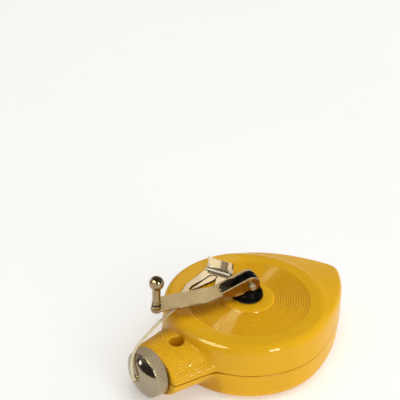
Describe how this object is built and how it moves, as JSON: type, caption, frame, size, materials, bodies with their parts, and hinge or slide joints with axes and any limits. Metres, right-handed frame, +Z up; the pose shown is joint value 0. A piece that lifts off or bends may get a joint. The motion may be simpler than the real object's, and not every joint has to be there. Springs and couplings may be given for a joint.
{
  "type": "chalk line reel",
  "caption": "Chalk line reel: round die-cast case with a tapered neck and pointed tail, folding crank with ball knob, knurled screw cap, and a line that ends in a stamped hook.",
  "frame": {"origin": "on the spool axis at the flat base face", "axes": "+X to the pointed tail, -X to the neck and cap, +Z up along the spool axis"},
  "size_m": [0.1094, 0.068, 0.0459],
  "materials": {
    "yellow_paint": "glossy golden yellow enamel over die-cast metal",
    "bright_nickel": "polished nickel plate",
    "satin_nickel": "satin warm nickel plate",
    "steel": "plain zinc plated steel",
    "brass": "turned brass",
    "black_hub": "black satin paint",
    "black_rubber": "matte rubber",
    "felt": "grey felt",
    "cotton": "twisted cream cotton line"
  },
  "bodies": {
    "case": {"upper_case": "yellow_paint", "lower_case": "yellow_paint", "case_screws": "steel", "upper_bush": "brass", "lower_bush": "brass", "hub_seal": "felt", "inner_line": "cotton", "chalk_line": "cotton", "line_knot": "cotton", "line_hook": "bright_nickel"},
    "reel": {"spindle": "steel", "spool_core": "steel", "spool_upper_flange": "steel", "spool_lower_flange": "steel", "upper_thrust_washer": "brass", "lower_thrust_washer": "brass", "line_winding": "cotton", "anchor_knot": "cotton", "crank_hub": "black_hub", "hub_cross_pin": "steel"},
    "crank": {"crank_arm": "satin_nickel", "crank_pivot_pin": "bright_nickel"},
    "knob": {"crank_knob": "bright_nickel"},
    "cap_carrier": {"cap_gasket": "black_rubber"},
    "cap": {"line_cap": "bright_nickel", "cap_eyelet": "bright_nickel", "felt_wiper": "felt"}
  },
  "joints": [
    {"name": "reel_spin", "type": "hinge", "parent": "case", "child": "reel", "pos_m": [0, 0, 0], "axis": [0, 0, 1], "continuous": true},
    {"name": "crank_fold", "type": "hinge", "parent": "reel", "child": "crank", "pos_m": [0, 0, 0.0333], "axis": [0.342, 0.9397, 0], "range_deg": [0, 172]},
    {"name": "knob_spin", "type": "hinge", "parent": "crank", "child": "knob", "pos_m": [-0.03818, 0.0106, 0.0308], "axis": [0, 0, 1], "continuous": true},
    {"name": "cap_slide", "type": "slide", "parent": "case", "child": "cap_carrier", "axis": [-1, 0, 0], "range_m": [0, 0.0032], "deforming": ["chalk_line"]},
    {"name": "cap_turn", "type": "hinge", "parent": "cap_carrier", "child": "cap", "pos_m": [-0.05, 0, 0.0126], "axis": [-1, 0, 0], "range_deg": [0, 720]}
  ],
  "couplings": [
    {"joint": "cap_slide", "follows": "cap_turn", "m_per_rad": 0.0002546}
  ]
}
